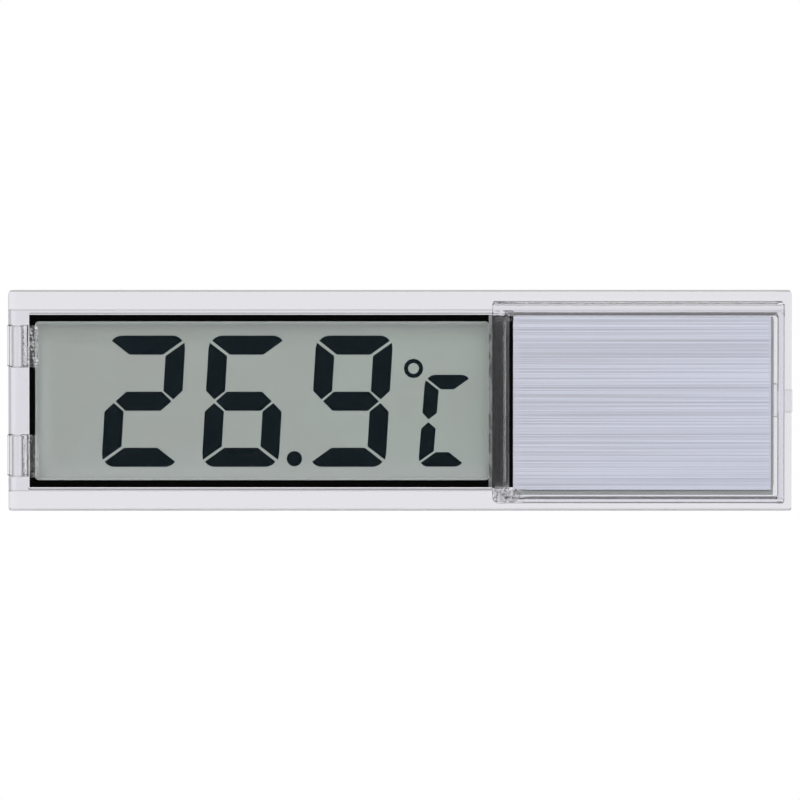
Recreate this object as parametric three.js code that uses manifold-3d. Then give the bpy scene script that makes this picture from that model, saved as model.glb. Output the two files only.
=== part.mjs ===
// Stick-on digital aquarium thermometer: a clear two-part case with a liquid-crystal display on the
// left and a raised pod on the right that holds the circuit board and two button cells.
// Millimetres, +Z up. The front faces -Y. The origin is the centre of the middle adhesive pad's back
// face, so the plane y = 0 is the aquarium glass that the thermometer is stuck to.

import * as THREE from "three";
import { mergeVertices } from "three/addons/utils/BufferGeometryUtils.js";
import Module from "manifold-3d";

// ---- Driving dimensions -------------------------------------------------------------------------

const CASE_LENGTH = 110;
const CASE_HEIGHT = 30.8;
const CASE_CORNER = 0.4;
const GAP = 0.05; // between pieces that lie against each other
const FIT = 0.15; // clearance round a piece that drops into a recess
const LAP = 0.2; // how far joined solids run into each other
const TOUCH = 0.01; // how far the two halves of a sloping cut run into each other
const BEYOND = 1; // how far a cut runs past the face that it opens

// Wall thicknesses.
const WINDOW_WALL = 0.8; // in front of the display, and in front of the pod
const COVER_PLATE = 0.85;

// Planes across the thickness, from the aquarium glass at y = 0 to the front of the pod.
const PAD_THICKNESS = 0.8;
const COVER_BACK = -PAD_THICKNESS;
const COVER_FRONT = COVER_BACK - COVER_PLATE;
const LEDGE = COVER_FRONT - GAP; // the case's step that the cover lies on
const CASE_FRONT = -5.1; // front of the display window and of the rim
const WINDOW_BACK = CASE_FRONT + WINDOW_WALL;

const CELL_HEIGHT = 5.4; // LR44 button cell
const CELL_RADIUS = 5.8;
const CONTACT = 0.2; // sheet thickness of the battery contacts
const BOARD_THICKNESS = 0.6;
const PANEL_THICKNESS = 0.15;
const BRIDGE_BACK = COVER_FRONT - 0.03;
const CELL_BACK = BRIDGE_BACK - CONTACT - 0.07;
const CELL_FRONT = CELL_BACK - CELL_HEIGHT;
const CONTACT_BACK = CELL_FRONT - GAP;
const BOARD_BACK = CONTACT_BACK - CONTACT - GAP;
const BOARD_FRONT = BOARD_BACK - BOARD_THICKNESS;
const PANEL_BACK = BOARD_FRONT - GAP;
const POD_CEILING = PANEL_BACK - PANEL_THICKNESS - GAP;
const POD_FRONT = POD_CEILING - WINDOW_WALL;

// Outlines in the XZ plane, as [left, right, bottom, top].
const CASE = [-CASE_LENGTH / 2, CASE_LENGTH / 2, -CASE_HEIGHT / 2, CASE_HEIGHT / 2];
const COVER_RECESS = [-56, 54.1, -12.9, 12.76]; // open at the hinge end
const COVER = [CASE[0], COVER_RECESS[1] - FIT, COVER_RECESS[2] + FIT, COVER_RECESS[3] - FIT];
const POD = [12.9, 53.9, -14.1, 14.1];
const POD_BEVEL = 0.35;
const POD_LOWER_LEFT = 1.0; // radius of the pod's lower left corner

// Two cavities open into each other: a shallow one behind the window, and a deep one in the pod. Their
// walls slope more steeply from the ceiling to a shoulder a little way behind it.
const SHOULDER_DEPTH = 1.0;
const DISPLAY_CAVITY = {
  front: WINDOW_BACK,
  ceiling: [-52.35, 52.9, -12.3, 12.3],
  shoulder: [-52.35, 52.9, -12.6, 12.3],
  mouth: [-52.35, 52.9, -12.6, 12.3],
};
const POD_CAVITY = {
  front: POD_CEILING,
  ceiling: [14.95, 52.9, -13.28, 12.25],
  shoulder: [14.5, 53.06, -13.58, 12.43],
  mouth: [14.45, 53.15, -13.6, 12.55],
};

// The pod's cavity is the deeper one below, so the cover and its recess reach lower there too.
const FLANGE_RECESS = [14, COVER_RECESS[1], -13.9, 0];
const FLANGE = [FLANGE_RECESS[0] + FIT, COVER[1], FLANGE_RECESS[2] + FIT, 0];

// Hinge at the left end: two hooks on the cover curl round half-round bars in the case. Radii are
// from the hinge axis, which runs along Z; angles are counter-clockwise from +X, seen from above.
const HINGE = { x: -53.7, y: -3.75, bar: 0.75, hookInner: 0.9, hookOuter: 1.5, opening: 1.6 };
const HOOK_CENTRES = [-7.7, 7.7];
const HOOK_WIDTH = 5.6;
const HOOK_TIP_ANGLE = -48;
const HOOK_STOP_ANGLE = 50; // where the tip would meet the case, 98 degrees round
const HOOK_POCKET = { left: -53.2, right: -50.75, height: 6.0, corner: 0.7, depth: 0.5 };

// Fingernail tab at the cover's right end, and the snap beside it.
const TAB = { bottom: -1.65, top: 1.3, tip: CASE[1] + 0.25 };
const LATCH = { left: 52.1, right: 52.95, halfWidth: 2.3, front: -3.6, beadY: -3.05, bead: 0.15 };

// Display stack.
const BEZEL = [-52.07, 16.35, -12.16, 12.13];
const BEZEL_OPENING = [-51.25, 12.5, -11.16, 11.2];
const BEZEL_THICKNESS = 0.2;
const GLASS_EDGE = 11.95;
const FRONT_GLASS = [-52.0, 16.2, -GLASS_EDGE, GLASS_EDGE];
const REAR_GLASS = [-52.0, 18.7, -GLASS_EDGE, GLASS_EDGE];
const REFLECTOR = [-51.6, 14.6, -11.7, 11.7];
const FRONT_GLASS_THICKNESS = 0.65;
const REAR_GLASS_THICKNESS = 0.6;
const POLARIZER_THICKNESS = 0.15;
const REFLECTOR_THICKNESS = 0.18;
const FILM_THICKNESS = 0.1;
const SEGMENT_RELIEF = 0.05;
const BEZEL_FRONT = WINDOW_BACK + GAP;
const FRONT_GLASS_FRONT = BEZEL_FRONT + BEZEL_THICKNESS + 0.02;
const FRONT_GLASS_BACK = FRONT_GLASS_FRONT + FRONT_GLASS_THICKNESS;
const SEGMENT_FRONT = FRONT_GLASS_BACK + GAP;
const FILM_FRONT = SEGMENT_FRONT + SEGMENT_RELIEF;
const FILM_BACK = FILM_FRONT + FILM_THICKNESS;
const REAR_GLASS_FRONT = FILM_BACK + 0.03;
const REAR_GLASS_BACK = REAR_GLASS_FRONT + REAR_GLASS_THICKNESS;
const REFLECTOR_FRONT = REAR_GLASS_BACK + 0.03;
const REFLECTOR_BACK = REFLECTOR_FRONT + REFLECTOR_THICKNESS;

// Electronics in the pod.
const PANEL = [15.85, 52.0, -12.2, 12.2];
const BOARD = [15.95, 52.3, -12.92, 12.1]; // a strip of it shows below and beside the silver panel
const TRAY = [19.0, 52.4, -12.0, 12.0];
const TRAY_BACK = -2.5;
const TRAY_FRONT = BOARD_BACK + 0.1;
const CELL_ROW = -5.4; // height of the two cells' axes
const CELLS = [
  { name: "left_cell", x: 28.3, capFacesFront: true },
  { name: "right_cell", x: 43.7, capFacesFront: false },
];
const BETWEEN_CELLS = (CELLS[0].x + CELLS[1].x) / 2;
const BRIDGE_PINS = [
  [BETWEEN_CELLS, CELL_ROW - 1],
  [BETWEEN_CELLS, CELL_ROW + 1],
];
const TRAY_WINDOW = [20.4, 50.2, 1.9, 10.6];
const TRAY_PEGS = [
  [20.7, -10.6],
  [51.2, 11.3],
];
const PEG_RADIUS = 0.45;

// ---- Helpers --------------------------------------------------------------------------------------

const wasm = await Module();
wasm.setup();

function polygon(points, Kind = THREE.Shape) {
  return new Kind(points.map(([x, z]) => new THREE.Vector2(x, z)));
}

function rectangle([left, right, bottom, top], Kind = THREE.Shape) {
  return polygon([[left, bottom], [right, bottom], [right, top], [left, top]], Kind);
}

function roundedRectangle([left, right, bottom, top], radius, Kind = THREE.Shape, lowerLeft = radius) {
  const outline = new Kind();
  outline.moveTo(left + lowerLeft, bottom);
  outline.lineTo(right - radius, bottom);
  outline.absarc(right - radius, bottom + radius, radius, -Math.PI / 2, 0);
  outline.absarc(right - radius, top - radius, radius, 0, Math.PI / 2);
  outline.absarc(left + radius, top - radius, radius, Math.PI / 2, Math.PI);
  outline.absarc(left + lowerLeft, bottom + lowerLeft, lowerLeft, Math.PI, 1.5 * Math.PI);
  return outline;
}

function circle(x, z, radius, Kind = THREE.Shape) {
  return new Kind().absarc(x, z, radius, 0, 2 * Math.PI);
}

// A shape drawn in the XZ plane, extruded forwards from its back plane to its front plane.
function slab(shape, back, front, { bevel = 0, curveSegments = 6 } = {}) {
  const geometry = new THREE.ExtrudeGeometry(shape, {
    depth: back - front - 2 * bevel,
    curveSegments,
    bevelEnabled: bevel > 0,
    bevelThickness: bevel,
    bevelSize: bevel,
    bevelOffset: -bevel,
    bevelSegments: 3,
  });
  return geometry.rotateX(Math.PI / 2).translate(0, back - bevel, 0);
}

function block(outline, back, front) {
  return slab(rectangle(outline), back, front);
}

// A shape drawn in the XY plane, extruded upwards.
function upright(shape, bottom, top, curveSegments = 8) {
  const settings = { depth: top - bottom, bevelEnabled: false, curveSegments };
  return new THREE.ExtrudeGeometry(shape, settings).translate(0, 0, bottom);
}

// A body of revolution about an axis along Y: profile holds [radius, distance forwards].
function turned(profile, x, back, z, segments = 32) {
  const points = profile.map(([radius, forwards]) => new THREE.Vector2(radius, -forwards));
  if (THREE.ShapeUtils.area(points) < 0) points.reverse();
  return new THREE.LatheGeometry(points, segments).translate(x, back, z);
}

function solid(geometry) {
  const bare = new THREE.BufferGeometry().setAttribute("position", geometry.getAttribute("position"));
  if (geometry.index) bare.setIndex(geometry.index);
  const merged = mergeVertices(bare, 1e-4);
  return new wasm.Manifold(
    new wasm.Mesh({
      numProp: 3,
      vertProperties: new Float32Array(merged.attributes.position.array),
      triVerts: new Uint32Array(merged.index.array),
    }),
  );
}

function geometryOf(manifold) {
  const mesh = manifold.getMesh();
  const geometry = new THREE.BufferGeometry();
  geometry.setAttribute("position", new THREE.BufferAttribute(mesh.vertProperties, 3));
  geometry.setIndex(new THREE.BufferAttribute(mesh.triVerts, 1));
  geometry.computeVertexNormals();
  return geometry;
}

// Joins the geometries in added, and cuts those in removed out of them.
function combine(added, removed = []) {
  const joined = added.map(solid).reduce((a, b) => a.add(b));
  return geometryOf(removed.map(solid).reduce((a, b) => a.subtract(b), joined));
}

// A block with rounded corners, whose outline changes evenly from its back plane to its front plane.
function tapered(backOutline, back, frontOutline, front) {
  const ring = (outline, depth) =>
    roundedRectangle(outline, CASE_CORNER).getPoints(4).map(({ x, y }) => [x, depth, y]);
  return geometryOf(wasm.Manifold.hull([...ring(backOutline, back), ...ring(frontOutline, front)]));
}

function grown([left, right, bottom, top], by) {
  return [left - by, right + by, bottom - by, top + by];
}

// ---- Materials ------------------------------------------------------------------------------------

function finish(color, roughness, metalness = 0, extra = {}) {
  return new THREE.MeshStandardMaterial({ color, roughness, metalness, ...extra });
}

const CLEAR = { transparent: true, opacity: 0.3 };
const MATERIALS = {
  clearPlastic: finish(0xe6e5ec, 0.08, 0, CLEAR),
  foamTape: finish(0xf1f0ea, 0.9),
  bezelBlack: finish(0x0a0a0d, 0.5),
  polarizer: finish(0xa3aaa0, 0.25, 0, { transparent: true, opacity: 0.4 }),
  glass: finish(0xd8e4de, 0.05, 0, CLEAR),
  segmentInk: finish(0x182430, 0.3),
  reflector: finish(0xa8aca4, 0.4, 0.3),
  zebra: finish(0x4a3a44, 0.6),
  board: finish(0x1d4a36, 0.4),
  epoxy: finish(0x0c0c0d, 0.5),
  ceramic: finish(0xb59f7c, 0.5),
  resistor: finish(0x17181a, 0.4),
  steel: finish(0xc4c6ca, 0.25, 1),
  seal: finish(0x2c4a7a, 0.5),
  contactMetal: finish(0xc9b98a, 0.3, 1),
  tray: finish(0xe9e8e2, 0.6),
  panel: finish(0xc6c9d6, 0.35, 0.8),
};

const thermometer = new THREE.Group();
thermometer.name = "stick_on_thermometer";

function addPart(name, geometry, material) {
  const mesh = new THREE.Mesh(geometry, material);
  mesh.name = name;
  thermometer.add(mesh);
  return mesh;
}

// ---- Case -----------------------------------------------------------------------------------------

const radians = THREE.MathUtils.degToRad;

// Everything in the case's left end that is more than a radius from the hinge axis, so that the
// corner turns past the cover without touching it.
function hingeCorner(radius, bottom, top) {
  const { x, y } = HINGE;
  const corner = new THREE.Shape();
  corner.moveTo(x - 4, y);
  corner.lineTo(x - radius, y);
  corner.absarc(x, y, radius, Math.PI, Math.PI / 2, true);
  corner.lineTo(x, y + 4);
  corner.lineTo(x - 4, y + 4);
  return upright(corner, bottom, top);
}

// The opening round each hinge bar: open to the left end and to the front, and closed behind the bar.
function hookOpening(bottom, top) {
  const { x, y, bar, opening } = HINGE;
  const mouth = Math.asin((CASE_FRONT - y) / opening);
  const stop = radians(HOOK_STOP_ANGLE);
  const shape = new THREE.Shape();
  shape.moveTo(x - 3, LEDGE + 1);
  shape.lineTo(x - bar, LEDGE + 1);
  shape.absarc(x, y, bar, Math.PI, 2 * Math.PI + stop);
  shape.absarc(x, y, opening, stop, mouth, true);
  shape.lineTo(x + opening * Math.cos(mouth), CASE_FRONT - 1);
  shape.lineTo(x - 3, CASE_FRONT - 1);
  return upright(shape, bottom, top);
}

// A dished pocket in the window beside each hook's tip, with rounded corners.
function hookPocket(z) {
  const { left, right, height, corner, depth } = HOOK_POCKET;
  const outline = roundedRectangle([left, right, z - height / 2, z + height / 2], corner);
  const middle = (left + right) / 2;
  const dish = new THREE.Shape().absellipse(middle, CASE_FRONT, (right - left) / 2, depth, 0, 2 * Math.PI);
  const prism = solid(slab(outline, CASE_FRONT + 1, CASE_FRONT - 1));
  return geometryOf(prism.intersect(solid(upright(dish, z - height, z + height, 10))));
}

// A cavity, as the two solids that cut it: from the ledge to the shoulder, and on to the ceiling.
function cavityCuts({ front, ceiling, shoulder, mouth }) {
  const step = front + SHOULDER_DEPTH;
  return [tapered(mouth, LEDGE + LAP, shoulder, step), tapered(shoulder, step + TOUCH, ceiling, front)];
}

function frontCase() {
  const rim = slab(roundedRectangle(CASE, CASE_CORNER), COVER_BACK, CASE_FRONT);
  const podOutline = roundedRectangle(POD, CASE_CORNER, THREE.Shape, POD_LOWER_LEFT);
  const pod = slab(podOutline, WINDOW_BACK, POD_FRONT, { bevel: POD_BEVEL });
  const [, , coverBottom, coverTop] = COVER_RECESS;
  const tabNotch = [COVER[1] - BEYOND, TAB.tip + BEYOND, TAB.bottom - FIT, TAB.top + FIT];
  const cuts = [
    block(COVER_RECESS, COVER_BACK + BEYOND, LEDGE),
    block(FLANGE_RECESS, COVER_BACK + BEYOND, LEDGE),
    block(tabNotch, COVER_BACK + BEYOND, LEDGE),
    ...cavityCuts(DISPLAY_CAVITY),
    ...cavityCuts(POD_CAVITY),
    hingeCorner(LEDGE - HINGE.y, coverBottom, coverTop),
    hingeCorner(COVER_BACK - HINGE.y, CASE[2] - BEYOND, CASE[3] + BEYOND),
    snapGroove(),
  ];
  for (const z of HOOK_CENTRES) {
    const half = HOOK_WIDTH / 2 + FIT;
    cuts.push(hookOpening(z - half, z + half), hookPocket(z));
  }
  return combine([rim, pod], cuts);
}

// The groove in the case's right wall that the bead on the cover's latch clicks into.
function snapGroove() {
  const half = LATCH.halfWidth + FIT;
  return upright(circle(LATCH.right + FIT, LATCH.beadY, LATCH.bead + 0.1), -half, half, 6);
}

function hook(bottom, top) {
  const { x, y, hookInner, hookOuter } = HINGE;
  const tip = 2 * Math.PI + radians(HOOK_TIP_ANGLE);
  const shape = new THREE.Shape();
  shape.moveTo(x - hookInner, COVER_BACK);
  shape.lineTo(x - hookOuter, COVER_BACK);
  shape.absarc(x, y, hookOuter, Math.PI, tip);
  shape.absarc(x, y, hookInner, tip, Math.PI, true);
  return upright(shape, bottom, top);
}

function latch() {
  const { left, right, halfWidth, front, beadY, bead } = LATCH;
  return [
    block([left, right, -halfWidth, halfWidth], COVER_FRONT + LAP, front),
    upright(circle(right, beadY, bead), -halfWidth, halfWidth, 6),
  ];
}

function backCover() {
  const pieces = [
    block(COVER, COVER_BACK, COVER_FRONT),
    block(FLANGE, COVER_BACK, COVER_FRONT),
    block([COVER[1] - LAP, TAB.tip, TAB.bottom, TAB.top], COVER_BACK, COVER_FRONT),
    ...HOOK_CENTRES.map((z) => hook(z - HOOK_WIDTH / 2, z + HOOK_WIDTH / 2)),
    ...latch(),
    // A rib behind the display's contact ledge.
    block([16.6, 17.6, -9, 9], COVER_FRONT + LAP, REAR_GLASS_BACK + GAP),
  ];
  // Ribs that hold the rest of the display forwards.
  for (const z of [-6, 6]) {
    pieces.push(block([-48, 10, z - 0.5, z + 0.5], COVER_FRONT + LAP, REFLECTOR_BACK + GAP));
  }
  // Pins whose heads hold the bridge contact.
  const pin = [[0, -0.2], [0.45, -0.2], [0.45, 0.28], [0.75, 0.28], [0.6, 0.5], [0, 0.55]];
  for (const [x, z] of BRIDGE_PINS) {
    pieces.push(turned(pin, x, COVER_FRONT, z, 16));
  }
  return combine(pieces);
}

function adhesivePads() {
  const pads = {
    adhesive_pad_left: [-50, -26, -10, 10],
    adhesive_pad_centre: [-12, 12, -10, 10],
    adhesive_pad_right: [23, 49, 2.2, 11],
  };
  for (const [name, outline] of Object.entries(pads)) {
    const shape = roundedRectangle(outline, 1.2);
    addPart(name, slab(shape, 0, COVER_BACK + 0.02), MATERIALS.foamTape);
  }
}

// ---- Display --------------------------------------------------------------------------------------

// The seven outlines of a digit, centred on its own middle, as in every seven-segment display:
// a top, b upper right, c lower right, d bottom, e lower left, f upper left, g middle.
function segmentOutlines(width, height, stroke) {
  const w = width / 2;
  const h = height / 2;
  const unit = stroke / 2.6; // the mitres and gaps keep their proportions on a smaller glyph
  const top = (side) => [
    [side * (w - 0.42 * unit), h - 0.7 * unit],
    [side * (w - 0.85 * unit), h - 0.28 * unit],
    [side * (w - 1.5 * unit), h],
  ];
  const a = [
    ...top(-1),
    ...top(1).reverse(),
    [w - 2.95 * unit, h - stroke],
    [-(w - 2.95 * unit), h - stroke],
  ];
  const f = [
    [-w + 0.14 * unit, h - 0.96 * unit],
    [-w + stroke, h - 2.78 * unit],
    [-w + stroke, 1.38 * unit],
    [-w + 1.2 * unit, 0.24 * unit],
    [-w, 1.42 * unit],
    [-w, h - 1.75 * unit],
  ];
  const g = [
    [-w + 1.42 * unit, 0],
    [-w + 2.81 * unit, stroke / 2],
    [w - 2.81 * unit, stroke / 2],
    [w - 1.42 * unit, 0],
    [w - 2.81 * unit, -stroke / 2],
    [-w + 2.81 * unit, -stroke / 2],
  ];
  const mirrored = (points, sx, sz) => points.map(([x, z]) => [sx * x, sz * z]);
  return {
    a,
    b: mirrored(f, -1, 1),
    c: mirrored(f, -1, -1),
    d: mirrored(a, 1, -1),
    e: mirrored(f, 1, -1),
    f,
    g,
  };
}

const DIGIT = { width: 10.82, height: 18.5, stroke: 2.7, slant: 0.06 };
const UNIT_LETTER = { width: 6.5, height: 12.95, stroke: 2.05, slant: 0.08 };
const GLYPHS = [
  { ...DIGIT, lit: "abged", x: -36.05, z: -0.1 }, // 2
  { ...DIGIT, lit: "afgecd", x: -21.95, z: -0.1 }, // 6
  { ...DIGIT, lit: "abcdfg", x: -6.9, z: -0.1 }, // 9
  { ...UNIT_LETTER, lit: "adef", x: 6.3, z: -2.85 }, // C
];
const DECIMAL_POINT = { x: -14.85, z: -8.2, radius: 1.1 };
const DEGREE_RING = { x: 1.9, z: 4.52, radius: 1.38, hole: 0.77 };

function segmentShapes() {
  const shapes = [];
  for (const { width, height, stroke, slant, lit, x, z } of GLYPHS) {
    const outlines = segmentOutlines(width, height, stroke);
    for (const letter of lit) {
      shapes.push(polygon(outlines[letter].map(([u, v]) => [x + u + v * slant, z + v])));
    }
  }
  shapes.push(circle(DECIMAL_POINT.x, DECIMAL_POINT.z, DECIMAL_POINT.radius));
  const ring = circle(DEGREE_RING.x, DEGREE_RING.z, DEGREE_RING.radius);
  ring.holes.push(circle(DEGREE_RING.x, DEGREE_RING.z, DEGREE_RING.hole, THREE.Path));
  shapes.push(ring);
  return shapes;
}

function segmentLayer() {
  const film = block(grown(BEZEL_OPENING, -0.05), FILM_BACK, FILM_FRONT);
  const raised = segmentShapes().map((shape) => slab(shape, FILM_FRONT + 0.05, SEGMENT_FRONT));
  return combine([film, ...raised]);
}

function display() {
  const bezel = rectangle(BEZEL);
  bezel.holes.push(roundedRectangle(BEZEL_OPENING, 0.5, THREE.Path));
  const bezelBack = BEZEL_FRONT + BEZEL_THICKNESS;
  const polarizer = roundedRectangle(grown(BEZEL_OPENING, -0.08), 0.45);
  addPart("display_bezel", slab(bezel, bezelBack, BEZEL_FRONT), MATERIALS.bezelBlack);
  addPart(
    "front_polarizer",
    slab(polarizer, BEZEL_FRONT + 0.03 + POLARIZER_THICKNESS, BEZEL_FRONT + 0.03),
    MATERIALS.polarizer,
  );
  addPart("front_glass", block(FRONT_GLASS, FRONT_GLASS_BACK, FRONT_GLASS_FRONT), MATERIALS.glass);
  addPart("segment_layer", segmentLayer(), MATERIALS.segmentInk);
  addPart("rear_glass", block(REAR_GLASS, REAR_GLASS_BACK, REAR_GLASS_FRONT), MATERIALS.glass);
  addPart("reflector", block(REFLECTOR, REFLECTOR_BACK, REFLECTOR_FRONT), MATERIALS.reflector);
}

// ---- Circuit board and what is soldered to it -----------------------------------------------------

function circuitBoard() {
  const outline = rectangle(BOARD);
  for (const [x, z] of TRAY_PEGS) {
    outline.holes.push(circle(x, z, PEG_RADIUS + FIT, THREE.Path));
  }
  return slab(outline, BOARD_BACK, BOARD_FRONT, { curveSegments: 5 });
}

// A component that lies on the board's back face.
function onBoard([left, right, bottom, top], height) {
  return block([left, right, bottom, top], BOARD_BACK + GAP + height, BOARD_BACK + GAP);
}

// The bare chip under its drop of black epoxy.
function chipBlob() {
  const radius = 4.1;
  const skirt = 0.15;
  const dome = 1.15;
  const steps = 6;
  const profile = [[0, 0], [radius, 0]];
  for (let i = 0; i < steps; i++) {
    const angle = radians((90 * i) / steps);
    profile.push([radius * Math.cos(angle), -skirt - dome * Math.sin(angle)]);
  }
  profile.push([0, -skirt - dome]);
  return turned(profile, 31.4, BOARD_BACK + GAP, 6.4, 24);
}

function chipParts() {
  const chips = {
    reference_resistor: { at: [22.4, 8.6], size: [3.2, 1.6, 0.6], material: MATERIALS.resistor },
    series_resistor: { at: [22.4, 5.6], size: [3.2, 1.6, 0.6], material: MATERIALS.resistor },
    supply_capacitor: { at: [38.9, 8.9], size: [3.2, 1.6, 1.1], material: MATERIALS.ceramic },
    timing_capacitor: { at: [38.9, 5.4], size: [2.0, 1.25, 0.9], material: MATERIALS.ceramic },
  };
  for (const [name, { at, size, material }] of Object.entries(chips)) {
    const [x, z] = at;
    const [length, width, height] = size;
    addPart(name, onBoard([x - length / 2, x + length / 2, z - width / 2, z + width / 2], height), material);
  }
}

// A glass-bead thermistor that stands off the board on two wires and looks at the cover.
const THERMISTOR = { x: 46.4, z: 6.4, radius: 1.0, back: COVER_FRONT - 0.1, wire: 0.2, spread: 0.55 };

function thermistor() {
  const { x, z, radius, back, wire, spread } = THERMISTOR;
  const length = 2.6;
  const steps = 8;
  const profile = [];
  for (let i = 0; i <= steps; i++) {
    const along = i / steps;
    const swell = Math.sin(Math.PI * Math.pow(along, 0.8));
    profile.push([i === 0 || i === steps ? 0 : radius * Math.pow(swell, 0.6), along * length]);
  }
  addPart("thermistor_bead", turned(profile, x, back, z, 20), MATERIALS.epoxy);
  const start = back - length * 0.97;
  for (const [name, side] of [["thermistor_wire_upper", 1], ["thermistor_wire_lower", -1]]) {
    const route = new THREE.CatmullRomCurve3([
      new THREE.Vector3(x, start - 0.35, z + side * 0.3),
      new THREE.Vector3(x, start - 1.2, z + side * spread),
      new THREE.Vector3(x, (start + BOARD_BACK) / 2 - 0.4, z + side * spread * 1.9),
      new THREE.Vector3(x, BOARD_BACK + GAP, z + side * spread * 2),
    ]);
    const geometry = new THREE.ExtrudeGeometry(circle(0, 0, wire), {
      steps: 8,
      curveSegments: 4,
      extrudePath: route,
    });
    addPart(name, geometry, MATERIALS.steel);
  }
}

function zebraStrip() {
  return block([16.5, 18.3, -10.6, 10.6], REAR_GLASS_FRONT - GAP, BOARD_BACK + GAP);
}

// ---- Battery --------------------------------------------------------------------------------------

function batteryTray() {
  const outline = roundedRectangle(TRAY, 0.5);
  outline.holes.push(roundedRectangle(TRAY_WINDOW, 1, THREE.Path));
  const body = slab(outline, TRAY_BACK, TRAY_FRONT);
  const pockets = CELLS.map(({ x }) =>
    slab(circle(x, CELL_ROW, CELL_RADIUS + FIT), 0, TRAY_FRONT - 1, { curveSegments: 20 }),
  );
  // Fingernail notch between the pockets, for lifting a cell out, and room for the cover's latch.
  const nail = slab(circle(BETWEEN_CELLS, CELL_ROW, 2.6), 0, TRAY_BACK - 2.2, { curveSegments: 10 });
  const latchWidth = LATCH.halfWidth + FIT;
  const latchRoom = block([LATCH.left - FIT, TRAY[1] + 1, -latchWidth, latchWidth], 0, LATCH.front - FIT);
  const pegs = TRAY_PEGS.map(([x, z]) =>
    slab(circle(x, z, PEG_RADIUS), TRAY_FRONT + 0.5, BOARD_FRONT + 0.05, { curveSegments: 5 }),
  );
  return combine([body, ...pegs], [...pockets, nail, latchRoom]);
}

// A button cell from its flat positive end to its negative cap, as profiles of [radius, distance].
function buttonCell({ name, x, capFacesFront }) {
  const lip = 4.95;
  const canHeight = CELL_HEIGHT - 0.4;
  const profiles = {
    can: [
      [0, 0],
      [CELL_RADIUS - 0.35, 0],
      [CELL_RADIUS, 0.35],
      [CELL_RADIUS, canHeight - 0.4],
      [CELL_RADIUS - 0.25, canHeight],
      [lip, canHeight],
      [lip, canHeight - 0.9],
      [0, canHeight - 0.9],
    ],
    seal: [
      [4.5, canHeight - 0.85],
      [lip - 0.05, canHeight - 0.85],
      [lip - 0.05, canHeight + 0.05],
      [4.5, canHeight + 0.05],
      [4.5, canHeight - 0.85],
    ],
    cap: [
      [0, canHeight - 0.85],
      [4.45, canHeight - 0.85],
      [4.45, CELL_HEIGHT - 0.25],
      [4.2, CELL_HEIGHT],
      [0, CELL_HEIGHT],
    ],
  };
  const materials = { can: MATERIALS.steel, seal: MATERIALS.seal, cap: MATERIALS.steel };
  for (const [piece, profile] of Object.entries(profiles)) {
    const placed = profile.map(([radius, d]) => [radius, capFacesFront ? d : CELL_HEIGHT - d]);
    addPart(`${name}_${piece}`, turned(placed, x, CELL_BACK, CELL_ROW), materials[piece]);
  }
}

function batteryContacts() {
  const [first, second] = CELLS;
  const bridge = roundedRectangle([first.x - 4, second.x + 4, CELL_ROW - 2.1, CELL_ROW + 2.1], 1);
  for (const [x, z] of BRIDGE_PINS) {
    bridge.holes.push(circle(x, z, 0.55, THREE.Path));
  }
  addPart("bridge_contact", slab(bridge, BRIDGE_BACK, BRIDGE_BACK - CONTACT), MATERIALS.contactMetal);

  const leaf = roundedRectangle([first.x - 4.5, first.x + 4.5, CELL_ROW - 3, CELL_ROW + 3], 0.8);
  leaf.holes.push(rectangle([first.x - 3.2, first.x + 2, CELL_ROW - 2.1, CELL_ROW - 1.4], THREE.Path));
  leaf.holes.push(rectangle([first.x - 3.2, first.x + 2, CELL_ROW + 1.4, CELL_ROW + 2.1], THREE.Path));
  addPart("negative_contact", slab(leaf, CONTACT_BACK, CONTACT_BACK - CONTACT), MATERIALS.contactMetal);

  const plate = roundedRectangle([second.x - 4.5, second.x + 4.5, CELL_ROW - 3, CELL_ROW + 3], 0.8);
  addPart("positive_contact", slab(plate, CONTACT_BACK, CONTACT_BACK - CONTACT), MATERIALS.contactMetal);
}

// ---- Assembly -------------------------------------------------------------------------------------

addPart("front_case", frontCase(), MATERIALS.clearPlastic);
addPart("back_cover", backCover(), MATERIALS.clearPlastic);
adhesivePads();
display();
addPart("zebra_strip", zebraStrip(), MATERIALS.zebra);
addPart("circuit_board", circuitBoard(), MATERIALS.board);
addPart("chip_blob", chipBlob(), MATERIALS.epoxy);
chipParts();
thermistor();
addPart("battery_tray", batteryTray(), MATERIALS.tray);
CELLS.forEach(buttonCell);
batteryContacts();
addPart("silver_panel", block(PANEL, PANEL_BACK, PANEL_BACK - PANEL_THICKNESS), MATERIALS.panel);

export default thermometer;
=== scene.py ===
"""A stick-on digital aquarium thermometer, in a plain white studio."""

import itertools
import math

import bmesh
import bpy
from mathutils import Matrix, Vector


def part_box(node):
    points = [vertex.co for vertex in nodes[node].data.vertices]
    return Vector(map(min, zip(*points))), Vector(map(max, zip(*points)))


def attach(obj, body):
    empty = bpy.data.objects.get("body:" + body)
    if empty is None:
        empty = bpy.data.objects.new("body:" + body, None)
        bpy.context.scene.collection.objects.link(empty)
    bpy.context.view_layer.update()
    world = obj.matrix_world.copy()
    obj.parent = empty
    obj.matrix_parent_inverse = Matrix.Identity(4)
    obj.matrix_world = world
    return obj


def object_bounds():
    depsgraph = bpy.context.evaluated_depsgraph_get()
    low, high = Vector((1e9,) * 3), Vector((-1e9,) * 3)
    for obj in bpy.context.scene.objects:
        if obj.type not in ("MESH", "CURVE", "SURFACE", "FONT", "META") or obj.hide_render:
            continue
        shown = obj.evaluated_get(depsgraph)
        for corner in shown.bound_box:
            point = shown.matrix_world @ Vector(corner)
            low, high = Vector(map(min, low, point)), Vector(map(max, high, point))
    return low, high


MM = 0.001
FRONT_CASE = "front_case"

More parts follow.
